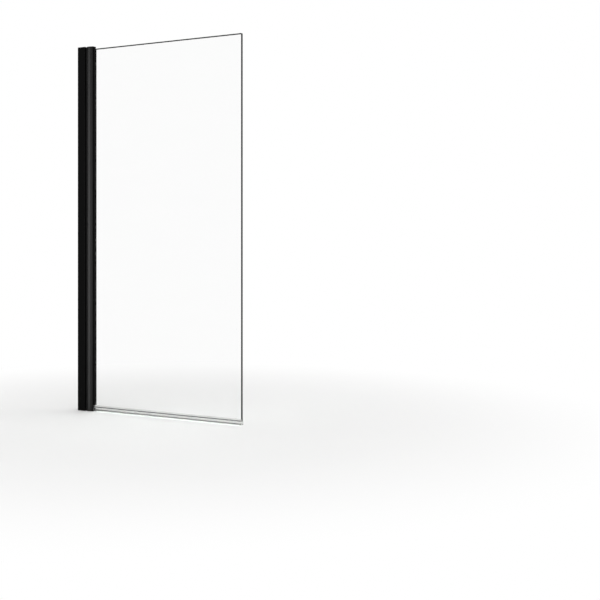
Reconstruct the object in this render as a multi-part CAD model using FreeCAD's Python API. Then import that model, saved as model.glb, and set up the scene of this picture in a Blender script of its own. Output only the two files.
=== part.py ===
import FreeCAD
import Part
import math
import os

from FreeCAD import Vector

# A fixed bath screen: a clear glass pane held along one side in a black post,
# which telescopes out of a fixed channel so that a mounting face out of plumb can be taken up.
# Millimetres. X runs from the mounting face along the glass, Y from front to back, Z up.
# The origin is on the mounting face, at the foot of the screen and the middle of the glass.

# Whole screen
SCREEN_HEIGHT = 1400.0          # foot of the screen to the top of the end caps
SCREEN_WIDTH = 740.0            # mounting face to the free edge of the glass, set half way
ADJUST_EACH_WAY = 7.5           # how far the post can be set in or out

# Glass pane
GLASS_THICKNESS = 8.0
GLASS_ARRIS = 0.8               # polished bevel along every edge
GLASS_CORNER_RADIUS = 3.0
GLASS_EDGE_GAP = 4.0            # floor of the slot to the edge of the glass
GLASS_TOP_GAP = 3.0             # top edge of the glass to the post's top cap

# Wall channel
CHANNEL_REACH = 35.0
CHANNEL_CLEAR_WIDTH = 28.0
CHANNEL_WEB = 2.5
CHANNEL_FRONT_LEG = 2.0
CHANNEL_REAR_LEG = 3.0          # thicker, because the locking screws thread into it
CHANNEL_MOUTH_RADIUS = 1.9

# Wall holes, evenly spaced from one end of the channel to the other
WALL_HOLE_RADIUS = 2.6
WALL_HOLE_COUNT = 4
WALL_HOLE_END_MARGIN = 100.0

# Locking screws
LOCK_SCREW_RADIUS = 2.5
LOCK_SCREW_END_MARGIN = 150.0
LOCK_SOCKET_WIDTH = 2.5         # across the flats
LOCK_SOCKET_DEPTH = 2.0
LOCK_THREAD_CLEARANCE = 0.05
LOCK_TIP_CLEARANCE = 0.1
LOCK_CAP_RADIUS = 4.5
LOCK_CAP_HEIGHT = 1.8
LOCK_CAP_PEG_CLEARANCE = 0.1
LOCK_CAP_PEG_END_GAP = 0.5

# Glazing post
SLIDE_CLEARANCE = 0.5
TONGUE_STOP_CLEARANCE = 0.5     # tongue to the web of the channel, fully in
POST_WALL = 1.8
GROOVE_INSET = 1.0              # the shadow groove starts this far inside the channel's mouth
GROOVE_WIDTH = 4.0
GROOVE_DEPTH = 3.3
HEAD_LENGTH = 10.0              # groove to the floor of the slot
HEAD_FLAT = 6.0
LIP_THICKNESS = 1.8
SLOT_DEPTH = 21.0
POST_EDGE_RADIUS = 0.6
SIDE_CHAMBER_END = 7.0          # hollow beside the slot to the end of the lips

# Screw ports and the self-tapping screws of the end caps
PORT_BORE_RADIUS = 1.5
PORT_WALL = 1.4
PORT_SLIT = 1.2
PORT_SINK = 0.3                 # how far the ring of a port sinks into its web
POST_PORT_SPACING = 10.0
CHANNEL_PORT_STALK = 0.8
CHANNEL_PORT_CLEARANCE = 0.8    # ring of the channel's port to the legs of the tongue
CAP_SCREW_CLEARANCE = 0.05
CAP_SCREW_LENGTH = 13.0
CAP_SCREW_HEAD_RADIUS = 3.3
CAP_SCREW_HEAD_HEIGHT = 1.9
CAP_SCREW_TIP = 2.0
CAP_SCREW_CROSS_LENGTH = 3.4
CAP_SCREW_CROSS_WIDTH = 0.8
CAP_SCREW_CROSS_DEPTH = 1.1
CAP_HOLE_CLEARANCE = 0.3
WELL_CLEARANCE = 0.4

# End caps
CHANNEL_CAP_PLATE = 3.0
POST_CAP_PLATE = 2.5
CAP_PASS_CLEARANCE = 0.5        # channel cap to the post cap that slides past it
CAP_EDGE_RADIUS = 0.9
SPIGOT_DEPTH = 10.0
SPIGOT_CLEARANCE = 0.2
SPIGOT_THICKNESS = 3.5
CROWN_GAP = 1.0                 # crown to the mouth of the channel, fully in
HEEL_OVERHANG = 1.0
LEDGE_HEIGHT = 6.0
LEDGE_CLEARANCE = 0.3
PAD_HEIGHT = 3.5

# Glazing gaskets and blocks
GASKET_THICKNESS = 2.2
GASKET_CLEARANCE = 0.05
GASKET_BLOCK_GAP = 1.0
GASKET_NECK_LENGTH = 3.5
GASKET_NECK_THICKNESS = 1.5
GASKET_BEAD_LENGTH = 4.7
GASKET_BEAD_THICKNESS = 2.9
GASKET_ROUNDING = 1.2
EDGE_BLOCK_HEIGHT = 60.0
EDGE_BLOCK_LEG = 5.0
EDGE_BLOCK_END_MARGIN = 150.0
EDGE_BLOCK_CLEARANCE = 0.05

# Bottom seal
SEAL_WALL = 1.2
SEAL_GRIP_HEIGHT = 8.0
SEAL_GLASS_CLEARANCE = 0.05
SEAL_BASE = 1.6
SEAL_RIM_CLEARANCE = 0.2
SEAL_TUBE_WIDTH = 9.8
SEAL_TUBE_WALL = 0.9
SEAL_TUBE_ROUNDING = 4.0        # lower corners of the tube, outside
SEAL_FIN_THICKNESS = 1.0
SEAL_FIN_REACH = 6.0
SEAL_FIN_RIM_GAP = 2.5
SEAL_END_GAP = 0.3
SEAL_GASKET_GAP = 1.0

# Places that follow from the sizes above
glass_half = GLASS_THICKNESS / 2
channel_half = CHANNEL_CLEAR_WIDTH / 2
channel_front = -channel_half - CHANNEL_FRONT_LEG
channel_rear = channel_half + CHANNEL_REAR_LEG
channel_foot_z = CHANNEL_CAP_PLATE
channel_top_z = SCREEN_HEIGHT - CHANNEL_CAP_PLATE
middle_z = SCREEN_HEIGHT / 2

tongue_half = channel_half - SLIDE_CLEARANCE
tongue_inside = tongue_half - POST_WALL
tongue_x = CHANNEL_WEB + TONGUE_STOP_CLEARANCE + ADJUST_EACH_WAY
groove_x = CHANNEL_REACH - GROOVE_INSET
groove_half = tongue_half - GROOVE_DEPTH
neck_x = groove_x + POST_WALL / 2
head_x = groove_x + GROOVE_WIDTH
nose_x = head_x + HEAD_FLAT
slot_half = glass_half + GASKET_THICKNESS
slot_x = head_x + HEAD_LENGTH
slot_web_x = slot_x - POST_WALL
lip_x = slot_x + SLOT_DEPTH
lip_half = slot_half + LIP_THICKNESS
lock_screw_x = (tongue_x + groove_x) / 2

port_radius = PORT_BORE_RADIUS + PORT_WALL
post_port_x = slot_web_x - port_radius + PORT_SINK
post_port_ys = (-POST_PORT_SPACING / 2, POST_PORT_SPACING / 2)
channel_port_x = CHANNEL_WEB + CHANNEL_PORT_STALK + port_radius
channel_port_y = tongue_inside - CHANNEL_PORT_CLEARANCE - port_radius

post_cap_outer = CHANNEL_CAP_PLATE + CAP_PASS_CLEARANCE
post_foot_z = post_cap_outer + POST_CAP_PLATE
post_top_z = SCREEN_HEIGHT - post_foot_z
post_cap_x = channel_port_x + port_radius + SLIDE_CLEARANCE + ADJUST_EACH_WAY
crown_x = CHANNEL_REACH + ADJUST_EACH_WAY + CROWN_GAP
heel_end_x = lip_x + HEEL_OVERHANG
ledge_z = post_foot_z + LEDGE_HEIGHT

glass_x = slot_x + GLASS_EDGE_GAP
glass_foot_z = ledge_z + PAD_HEIGHT
glass_top_z = post_top_z - GLASS_TOP_GAP
block_end_x = glass_x + EDGE_BLOCK_LEG
seal_x = heel_end_x + SEAL_END_GAP
seal_grip_z = glass_foot_z + SEAL_GRIP_HEIGHT
gasket_foot_z = seal_grip_z + SEAL_GASKET_GAP

# The nose is one arc, tangent to the flat of the head and to the slope down to the lips
nose_run = lip_x - nose_x
nose_corner_x = nose_x + nose_run / 2
nose_slope = math.atan2(tongue_half - lip_half, lip_x - nose_corner_x)
nose_radius = (nose_run / 2 - POST_EDGE_RADIUS) / math.tan(nose_slope / 2)


def on_floor(a, b):
    """Place a section's point in the XY plane."""
    return Vector(a, b, 0)


def across_glass(a, b):
    """Place a section's point in the YZ plane."""
    return Vector(0, a, b)


def outline(corners, place=on_floor):
    """Closed wire through corners (a, b, radius), with a tangent arc at each radius above zero."""
    edges = []
    points = [place(a, b) for a, b, _ in corners]
    ends = []
    for i, (_, _, radius) in enumerate(corners):
        here = points[i]
        before = (points[i - 1] - here).normalize()
        after = (points[(i + 1) % len(points)] - here).normalize()
        half_angle = before.getAngle(after) / 2
        if radius == 0:
            ends.append((here, None, here))
            continue
        reach = radius / math.tan(half_angle)
        bisector = (before + after).normalize()
        apex = here + bisector * (radius / math.sin(half_angle) - radius)
        ends.append((here + before * reach, apex, here + after * reach))
    for i, (start, apex, end) in enumerate(ends):
        if apex is not None:
            edges.append(Part.Arc(start, apex, end).toShape())
        following = ends[(i + 1) % len(ends)][0]
        if end.distanceToPoint(following) > 1e-6:
            edges.append(Part.LineSegment(end, following).toShape())
    return Part.Wire(Part.__sortEdges__(edges))


def upright(corners, low, high):
    """Section in XY carried from height low to height high."""
    face = Part.Face(outline(corners))
    face.translate(Vector(0, 0, low))
    return face.extrude(Vector(0, 0, high - low))


def box(x0, x1, y0, y1, z0, z1):
    """Block between two corners."""
    return Part.makeBox(x1 - x0, y1 - y0, z1 - z0, Vector(x0, y0, z0))


def both_sides(half):
    """Corners of one half of a section, then the same mirrored in the plane of the glass."""
    return half + [(x, -y, radius) for x, y, radius in reversed(half)]


def heights(end_margin):
    """Named heights of three pieces, the outer two end_margin from the ends of the screen."""
    return {
        "upper": SCREEN_HEIGHT - end_margin,
        "middle": middle_z,
        "lower": end_margin,
    }


def upside_down(shape):
    """Turn a piece made for the foot end over, to the same place at the top end."""
    return shape.mirror(Vector(0, 0, middle_z), Vector(0, 0, 1))


def screw_port(x, y, low, high):
    """C-shaped ring of an extrusion that a cap screw cuts its thread in, slit away from its web."""
    height = high - low
    foot = Vector(x, y, low)
    ring = Part.makeCylinder(port_radius, height, foot)
    bore = Part.makeCylinder(PORT_BORE_RADIUS, height, foot)
    return ring.cut(bore)


def port_slit(x, y, low, high, towards):
    """Gap in the ring of a screw port, on the side that faces away from its web."""
    reach = x + towards * port_radius
    return box(min(x, reach), max(x, reach), y - PORT_SLIT / 2, y + PORT_SLIT / 2, low, high)


def channel_section():
    """Outer corners of the channel, square at its mounting face and closed across its mouth."""
    return [
        (0, channel_front, 0),
        (CHANNEL_REACH, channel_front, CHANNEL_MOUTH_RADIUS),
        (CHANNEL_REACH, channel_rear, CHANNEL_MOUTH_RADIUS),
        (0, channel_rear, 0),
    ]


def wall_hole_heights():
    """Heights of the wall holes, evenly spaced between the end margins."""
    step = (SCREEN_HEIGHT - 2 * WALL_HOLE_END_MARGIN) / (WALL_HOLE_COUNT - 1)
    return [WALL_HOLE_END_MARGIN + i * step for i in range(WALL_HOLE_COUNT)]


def make_wall_channel():
    """U extrusion with a screw port on its web, wall holes and tapped holes."""
    low, high = channel_foot_z, channel_top_z
    body = upright(channel_section(), low, high)
    body = body.cut(box(CHANNEL_WEB, CHANNEL_REACH, -channel_half, channel_half, low, high))
    stalk_y0 = channel_port_y - PORT_WALL
    stalk_y1 = channel_port_y + PORT_WALL
    stalk = box(CHANNEL_WEB, channel_port_x, stalk_y0, stalk_y1, low, high)
    port = screw_port(channel_port_x, channel_port_y, low, high)
    bore = Part.makeCylinder(PORT_BORE_RADIUS, high - low, Vector(channel_port_x, channel_port_y, low))
    body = body.fuse(stalk).fuse(port).cut(bore)
    body = body.cut(port_slit(channel_port_x, channel_port_y, low, high, 1))
    along_x = Vector(1, 0, 0)
    for z in wall_hole_heights():
        body = body.cut(Part.makeCylinder(WALL_HOLE_RADIUS, CHANNEL_WEB, Vector(0, 0, z), along_x))
    along_y = Vector(0, 1, 0)
    for z in heights(LOCK_SCREW_END_MARGIN).values():
        start = Vector(lock_screw_x, channel_half, z)
        body = body.cut(Part.makeCylinder(LOCK_SCREW_RADIUS, CHANNEL_REAR_LEG, start, along_y))
    return body.removeSplitter()


def cap_screw(x, y, head_z):
    """Countersunk self-tapping screw, driven upwards with its head flush at head_z."""
    shank_radius = PORT_BORE_RADIUS - CAP_SCREW_CLEARANCE
    at = Vector(x, y, head_z)
    head = Part.makeCone(CAP_SCREW_HEAD_RADIUS, shank_radius, CAP_SCREW_HEAD_HEIGHT, at)
    shank = Part.makeCylinder(shank_radius, CAP_SCREW_LENGTH - CAP_SCREW_TIP, at)
    tip_at = at + Vector(0, 0, CAP_SCREW_LENGTH - CAP_SCREW_TIP)
    tip = Part.makeCone(shank_radius, shank_radius / 4, CAP_SCREW_TIP, tip_at)
    screw = head.fuse(shank).fuse(tip)
    long_half = CAP_SCREW_CROSS_LENGTH / 2
    short_half = CAP_SCREW_CROSS_WIDTH / 2
    for half_x, half_y in ((long_half, short_half), (short_half, long_half)):
        slot = box(x - half_x, x + half_x, y - half_y, y + half_y, head_z, head_z + CAP_SCREW_CROSS_DEPTH)
        screw = screw.cut(slot)
    return screw.removeSplitter()


def countersink(x, y, head_z, plate):
    """Cutter for a cap screw's head and shank through a plate whose outer face is at head_z."""
    at = Vector(x, y, head_z)
    hole_radius = PORT_BORE_RADIUS + CAP_HOLE_CLEARANCE
    top_radius = CAP_SCREW_HEAD_RADIUS + CAP_HOLE_CLEARANCE
    cone = Part.makeCone(top_radius, hole_radius, CAP_SCREW_HEAD_HEIGHT, at)
    return cone.fuse(Part.makeCylinder(hole_radius, plate, at))


def rounded_rim(solid, z, radius):
    """Round the edges of a solid in the plane at height z, but not one in the mounting face."""
    rim = []
    for edge in solid.Edges:
        bounds = edge.BoundBox
        level = abs(bounds.ZMin - z) < 1e-6 and abs(bounds.ZMax - z) < 1e-6
        if level and bounds.XMax > 1e-6:
            rim.append(edge)
    return solid.makeFillet(radius, rim)


def make_channel_foot_cap():
    """Plate under the channel with a block that plugs in between the tongue's legs."""
    cap = rounded_rim(upright(channel_section(), 0, CHANNEL_CAP_PLATE), 0, CAP_EDGE_RADIUS)
    plug_x = CHANNEL_WEB + SPIGOT_CLEARANCE
    plug_edge = tongue_inside - SLIDE_CLEARANCE
    plug_end = channel_port_y - port_radius - SPIGOT_CLEARANCE
    plug = box(
        plug_x,
        plug_x + SPIGOT_THICKNESS,
        -plug_edge,
        plug_end,
        CHANNEL_CAP_PLATE,
        CHANNEL_CAP_PLATE + SPIGOT_DEPTH,
    )
    cap = cap.fuse(plug).cut(countersink(channel_port_x, channel_port_y, 0, CHANNEL_CAP_PLATE))
    return cap.removeSplitter()


def make_channel_cap_screws():
    """One screw in the foot cap and one in the top cap."""
    screw = cap_screw(channel_port_x, channel_port_y, 0)
    return Part.makeCompound([screw, upside_down(screw)])


def make_locking_screws():
    """Grub screws with a hexagon socket, their tips just off the tongue of the post."""
    radius = LOCK_SCREW_RADIUS - LOCK_THREAD_CLEARANCE
    tip_y = tongue_half + LOCK_TIP_CLEARANCE
    screws = []
    for z in heights(LOCK_SCREW_END_MARGIN).values():
        tip = Vector(lock_screw_x, tip_y, z)
        body = Part.makeCylinder(radius, channel_rear - tip_y, tip, Vector(0, 1, 0))
        socket = hexagon(LOCK_SOCKET_WIDTH, z, channel_rear, -LOCK_SOCKET_DEPTH)
        screws.append(body.cut(socket))
    return Part.makeCompound(screws)


def hexagon(width, z, y, length):
    """Hexagonal prism across the rear leg, at a locking screw, from y over a length."""
    corner = width / math.sqrt(3)
    turns = [math.radians(60 * i) for i in range(7)]
    points = [Vector(lock_screw_x + corner * math.cos(t), y, z + corner * math.sin(t)) for t in turns]
    return Part.Face(Part.makePolygon(points)).extrude(Vector(0, length, 0))


def make_locking_screw_cap(z):
    """Domed cover with a hexagonal peg that presses into the socket of a locking screw."""
    crown = LOCK_CAP_HEIGHT
    sphere_radius = (LOCK_CAP_RADIUS ** 2 + crown ** 2) / (2 * crown)
    centre = Vector(lock_screw_x, channel_rear + crown - sphere_radius, z)
    ball = Part.makeSphere(sphere_radius, centre)
    leg_face = Vector(lock_screw_x, channel_rear, z)
    dome = ball.common(Part.makeCylinder(LOCK_CAP_RADIUS, crown, leg_face, Vector(0, 1, 0)))
    peg_length = LOCK_SOCKET_DEPTH - LOCK_CAP_PEG_END_GAP
    peg = hexagon(LOCK_SOCKET_WIDTH - LOCK_CAP_PEG_CLEARANCE, z, channel_rear, -peg_length)
    return dome.fuse(peg).removeSplitter()


def post_section(start_x):
    """Outer corners of the post from start_x to the lips, on both sides of the glass."""
    half = [
        (start_x, -tongue_half, POST_EDGE_RADIUS),
        (groove_x, -tongue_half, POST_EDGE_RADIUS),
        (groove_x, -groove_half, POST_EDGE_RADIUS),
        (head_x, -groove_half, POST_EDGE_RADIUS),
        (head_x, -tongue_half, POST_EDGE_RADIUS),
        (nose_corner_x, -tongue_half, nose_radius),
        (lip_x, -lip_half, POST_EDGE_RADIUS),
    ]
    return both_sides(half)


def nose_skin(x):
    """Half width of the nose's outer face at x."""
    arc_start = nose_corner_x - nose_radius * math.tan(nose_slope / 2)
    fall = nose_radius - math.sqrt(nose_radius ** 2 - (x - arc_start) ** 2)
    return tongue_half - fall


def make_glazing_post():
    """Extrusion with a tongue, a hollow head with two screw ports, and the slot for the glass."""
    low, high = post_foot_z, post_top_z
    body = upright(post_section(tongue_x), low, high)
    tongue_web_x = neck_x - POST_WALL
    body = body.cut(box(tongue_x, tongue_web_x, -tongue_inside, tongue_inside, low, high))
    neck_inside = groove_half - POST_WALL
    chamber = both_sides([
        (neck_x, -neck_inside, 0),
        (head_x + POST_WALL, -neck_inside, 0),
        (head_x + POST_WALL, -tongue_inside, POST_EDGE_RADIUS),
        (slot_web_x, -tongue_inside, POST_EDGE_RADIUS),
    ])
    body = body.cut(upright(chamber, low, high))
    body = body.cut(box(slot_x, lip_x, -slot_half, slot_half, low, high))
    side_end_x = lip_x - SIDE_CHAMBER_END
    side_middle_x = (slot_x + side_end_x) / 2
    inner = slot_half + POST_WALL
    for side in (-1, 1):
        corners = [
            (slot_x, side * inner, 0),
            (slot_x, side * (nose_skin(slot_x) - POST_WALL), 0),
            (side_middle_x, side * (nose_skin(side_middle_x) - POST_WALL), 0),
            (side_end_x, side * (nose_skin(side_end_x) - POST_WALL), 0),
            (side_end_x, side * inner, 0),
        ]
        body = body.cut(upright(corners, low, high))
    for y in post_port_ys:
        body = body.fuse(screw_port(post_port_x, y, low, high))
        body = body.cut(port_slit(post_port_x, y, low, high, -1))
    return body.removeSplitter()


def make_post_foot_cap():
    """Plate over the end of the post, with a heel to stand on and a plug in the chamber."""
    section = post_section(post_cap_x)
    plate = upright(section, post_cap_outer, post_foot_z)
    heel_half = both_sides([
        (crown_x, -tongue_half, POST_EDGE_RADIUS),
        (nose_corner_x, -tongue_half, nose_radius - HEEL_OVERHANG),
        (heel_end_x, -lip_half, POST_EDGE_RADIUS),
    ])
    heel = rounded_rim(upright(heel_half, 0, post_cap_outer), 0, CAP_EDGE_RADIUS)
    plug_x = neck_x + SPIGOT_CLEARANCE
    plug_end_x = post_port_x - port_radius - SPIGOT_CLEARANCE
    plug_half = groove_half - POST_WALL - SPIGOT_CLEARANCE
    plug = box(plug_x, plug_end_x, -plug_half, plug_half, post_foot_z, post_foot_z + SPIGOT_DEPTH)
    cap = plate.fuse(heel).fuse(plug)
    for y in post_port_ys:
        cap = cap.cut(countersink(post_port_x, y, post_cap_outer, POST_CAP_PLATE))
        well_radius = CAP_SCREW_HEAD_RADIUS + WELL_CLEARANCE
        cap = cap.cut(Part.makeCylinder(well_radius, post_cap_outer, Vector(post_port_x, y, 0)))
    return cap.removeSplitter()


def make_glass_ledge():
    """Block on the foot cap, inside the slot, that carries the pad under the glass."""
    half = slot_half - LEDGE_CLEARANCE
    x0 = slot_x + LEDGE_CLEARANCE
    return box(x0, lip_x, -half, half, post_foot_z, ledge_z)


def make_glass_support_pad():
    """Soft pad between the ledge of the foot cap and the lower edge of the glass."""
    half = slot_half - LEDGE_CLEARANCE
    return box(glass_x, lip_x, -half, half, ledge_z, glass_foot_z)


def make_post_cap_screws():
    """Two screws in the foot cap of the post and two in its top cap."""
    screws = [cap_screw(post_port_x, y, post_cap_outer) for y in post_port_ys]
    return Part.makeCompound(screws + [upside_down(screw) for screw in screws])


def make_glass_pane():
    """Flat pane with eased corners and an arris on both faces."""
    corners = [
        (glass_x, glass_foot_z),
        (SCREEN_WIDTH, glass_foot_z),
        (SCREEN_WIDTH, glass_top_z),
        (glass_x, glass_top_z),
    ]
    rounded = [(x, z, GLASS_CORNER_RADIUS) for x, z in corners]
    face = Part.Face(outline(rounded, lambda x, z: Vector(x, -glass_half, z)))
    pane = face.extrude(Vector(0, GLASS_THICKNESS, 0))
    rims = [edge for edge in pane.Edges if edge.BoundBox.YLength < 1e-6]
    return pane.makeChamfer(GLASS_ARRIS, rims)


def make_front_gasket():
    """Gasket on the front: a wedge in the slot, a neck past the lip and a bead on the glass."""
    glass_y = -glass_half - GASKET_CLEARANCE
    wedge_x = block_end_x + GASKET_BLOCK_GAP
    wedge_y = -slot_half + GASKET_CLEARANCE
    neck_end_x = lip_x + GASKET_NECK_LENGTH
    neck_y = glass_y - GASKET_NECK_THICKNESS
    bead_end_x = neck_end_x + GASKET_BEAD_LENGTH
    bead_y = glass_y - GASKET_BEAD_THICKNESS
    section = [
        (wedge_x, glass_y, 0),
        (wedge_x, wedge_y, GASKET_ROUNDING),
        (lip_x, wedge_y, 0),
        (lip_x, neck_y, 0),
        (neck_end_x, neck_y, 0),
        (neck_end_x, bead_y, GASKET_ROUNDING),
        (bead_end_x, bead_y, GASKET_ROUNDING),
        (bead_end_x, glass_y, 0),
    ]
    return upright(section, gasket_foot_z, glass_top_z)


def make_edge_block(z):
    """U-shaped block round the hidden edge of the glass."""
    outer = slot_half - EDGE_BLOCK_CLEARANCE
    inner = glass_half + EDGE_BLOCK_CLEARANCE
    low = z - EDGE_BLOCK_HEIGHT / 2
    high = z + EDGE_BLOCK_HEIGHT / 2
    block = box(slot_x, block_end_x, -outer, outer, low, high)
    return block.cut(box(glass_x, block_end_x, -inner, inner, low, high))


def make_bottom_seal():
    """Clear extrusion under the glass: a grip on its edge, a tube below it and a drip fin."""
    inner = glass_half + SEAL_GLASS_CLEARANCE
    outer = inner + SEAL_WALL
    floor_z = glass_foot_z - SEAL_GLASS_CLEARANCE
    base_z = floor_z - SEAL_BASE
    tube_half = SEAL_TUBE_WIDTH / 2
    hollow_half = tube_half - SEAL_TUBE_WALL
    hollow_z = SEAL_RIM_CLEARANCE + SEAL_TUBE_WALL
    hollow_rounding = SEAL_TUBE_ROUNDING - SEAL_TUBE_WALL
    grip = [
        (-outer, base_z, SEAL_WALL / 2),
        (outer, base_z, 0),
        (outer, seal_grip_z, SEAL_WALL / 3),
        (inner, seal_grip_z, SEAL_WALL / 3),
        (inner, floor_z, 0),
        (-inner, floor_z, 0),
        (-inner, seal_grip_z, SEAL_WALL / 3),
        (-outer, seal_grip_z, SEAL_WALL / 3),
    ]
    fin_tip_y = outer + SEAL_FIN_REACH
    fin = [
        (outer - SEAL_WALL, base_z, 0),
        (fin_tip_y - SEAL_FIN_THICKNESS, SEAL_FIN_RIM_GAP, SEAL_FIN_THICKNESS / 3),
        (fin_tip_y, SEAL_FIN_RIM_GAP + SEAL_FIN_THICKNESS, SEAL_FIN_THICKNESS / 3),
        (outer, floor_z, 0),
    ]
    tube = [
        (-tube_half, SEAL_RIM_CLEARANCE, SEAL_TUBE_ROUNDING),
        (tube_half, SEAL_RIM_CLEARANCE, SEAL_TUBE_ROUNDING),
        (tube_half, floor_z, 0),
        (-tube_half, floor_z, 0),
    ]
    hollow = [
        (-hollow_half, hollow_z, hollow_rounding),
        (hollow_half, hollow_z, hollow_rounding),
        (hollow_half, base_z, 0),
        (-hollow_half, base_z, 0),
    ]
    length = Vector(SCREEN_WIDTH - seal_x, 0, 0)
    pieces = []
    for corners in (grip, fin, tube, hollow):
        face = Part.Face(outline(corners, across_glass))
        face.translate(Vector(seal_x, 0, 0))
        pieces.append(face.extrude(length))
    grip, fin, tube, hollow = pieces
    return grip.fuse(fin).fuse(tube).cut(hollow).removeSplitter()


def export(name, shape):
    """Write one named piece."""
    shape.exportStep(f"parts/{name}.step")


os.makedirs("parts", exist_ok=True)

export("wall_channel", make_wall_channel())
channel_foot_cap = make_channel_foot_cap()
export("channel_foot_cap", channel_foot_cap)
export("channel_top_cap", upside_down(channel_foot_cap))
export("channel_cap_screws", make_channel_cap_screws())
export("locking_screws", make_locking_screws())
for place, z in heights(LOCK_SCREW_END_MARGIN).items():
    export(f"locking_screw_cap_{place}", make_locking_screw_cap(z))

export("glazing_post", make_glazing_post())
post_end_cap = make_post_foot_cap()
export("post_foot_cap", post_end_cap.fuse(make_glass_ledge()).removeSplitter())
export("post_top_cap", upside_down(post_end_cap))
export("post_cap_screws", make_post_cap_screws())
export("glass_support_pad", make_glass_support_pad())

export("glass_pane", make_glass_pane())
front_gasket = make_front_gasket()
export("front_gasket", front_gasket)
export("rear_gasket", front_gasket.mirror(Vector(0, 0, 0), Vector(0, 1, 0)))
for place, z in heights(EDGE_BLOCK_END_MARGIN).items():
    export(f"edge_block_{place}", make_edge_block(z))
export("bottom_seal", make_bottom_seal())
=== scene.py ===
# %% [markdown]
# # A fixed bath screen
# A bath screen is one upright pane of clear toughened glass that keeps splashes in. A black post
# holds the pane along one side, and the post slides in a fixed channel, so that a mounting face out
# of plumb can be taken up. The CAD frame already holds every rigid piece at its real size. This
# lesson loads that frame, gives each piece its finish and remakes the soft pieces and the pane as
# surfaces worked out with numpy.

# %% Load the frame and keep its box
import math

import bpy
import numpy as np
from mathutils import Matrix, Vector
from mathutils.geometry import tessellate_polygon


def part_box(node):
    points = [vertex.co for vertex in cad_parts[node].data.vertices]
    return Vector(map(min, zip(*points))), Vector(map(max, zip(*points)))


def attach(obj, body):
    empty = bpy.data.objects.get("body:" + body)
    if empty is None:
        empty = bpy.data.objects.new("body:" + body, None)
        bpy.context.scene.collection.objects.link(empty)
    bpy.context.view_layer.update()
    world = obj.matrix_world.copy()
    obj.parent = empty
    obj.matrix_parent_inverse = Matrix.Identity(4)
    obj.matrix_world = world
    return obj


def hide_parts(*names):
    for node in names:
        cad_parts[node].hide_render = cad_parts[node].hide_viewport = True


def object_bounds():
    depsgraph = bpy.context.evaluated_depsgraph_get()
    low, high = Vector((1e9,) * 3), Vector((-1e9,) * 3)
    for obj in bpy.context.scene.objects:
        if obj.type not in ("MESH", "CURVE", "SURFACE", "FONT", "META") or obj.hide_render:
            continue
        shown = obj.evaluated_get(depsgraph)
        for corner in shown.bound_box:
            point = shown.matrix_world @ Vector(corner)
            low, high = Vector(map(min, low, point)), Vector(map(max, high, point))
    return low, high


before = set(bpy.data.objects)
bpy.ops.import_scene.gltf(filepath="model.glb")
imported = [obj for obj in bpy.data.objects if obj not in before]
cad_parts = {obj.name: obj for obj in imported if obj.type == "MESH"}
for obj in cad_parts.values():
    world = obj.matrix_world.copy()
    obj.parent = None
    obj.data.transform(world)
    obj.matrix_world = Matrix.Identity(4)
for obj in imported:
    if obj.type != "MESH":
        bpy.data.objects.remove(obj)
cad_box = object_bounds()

MM = 0.001
scene = bpy.context.scene
scene.view_settings.view_transform = "Standard"
cad_low, cad_high = np.array(cad_box)
print("CAD nodes:", len(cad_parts), "box in mm:", np.round((cad_high - cad_low) / MM, 1))

# %% [markdown]
# ## Shader maths as Python
# A finish is a tree of nodes. Wiring each Math node by hand hides the formula, so one small class
# wraps a socket and lets Python's own operators add the Math nodes. Every other kind of node
# comes from one method: its settings are set first, and then each socket gets a number, a colour
# or a link.

# %% A socket that can be calculated with
class Reading:
    """One socket of a node tree. Arithmetic with it adds Math nodes and gives a new reading."""

    def __init__(self, nodes, socket):
        self.nodes = nodes
        self.socket = socket

    def math(self, operation, *terms):
        """Reading of a new Math node with that operation on the terms."""
        return self.nodes.add("Math", {"operation": operation}, dict(enumerate(terms)))

    def __add__(self, other):
        return self.math("ADD", self, other)

    def __sub__(self, other):
        return self.math("SUBTRACT", self, other)

    def __rsub__(self, other):
        return self.math("SUBTRACT", other, self)

    def __mul__(self, other):
        return self.math("MULTIPLY", self, other)

    def __gt__(self, limit):
        return self.math("GREATER_THAN", self, limit)

    def __lt__(self, limit):
        return self.math("LESS_THAN", self, limit)

    def __abs__(self):
        return self.math("ABSOLUTE", self)

    def larger(self, other):
        return self.math("MAXIMUM", self, other)

    __radd__ = __add__
    __rmul__ = __mul__


print("readings can be added, subtracted, multiplied and compared")

# %% A node tree that is filled by one method
MIX_FACTOR, MIX_FROM, MIX_TO, MIX_COLOUR = 0, 6, 7, 2   # sockets of a Mix node for colours
FIRST_SCATTER = 0.5                 # limit between no bounce off a matt surface and one


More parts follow.
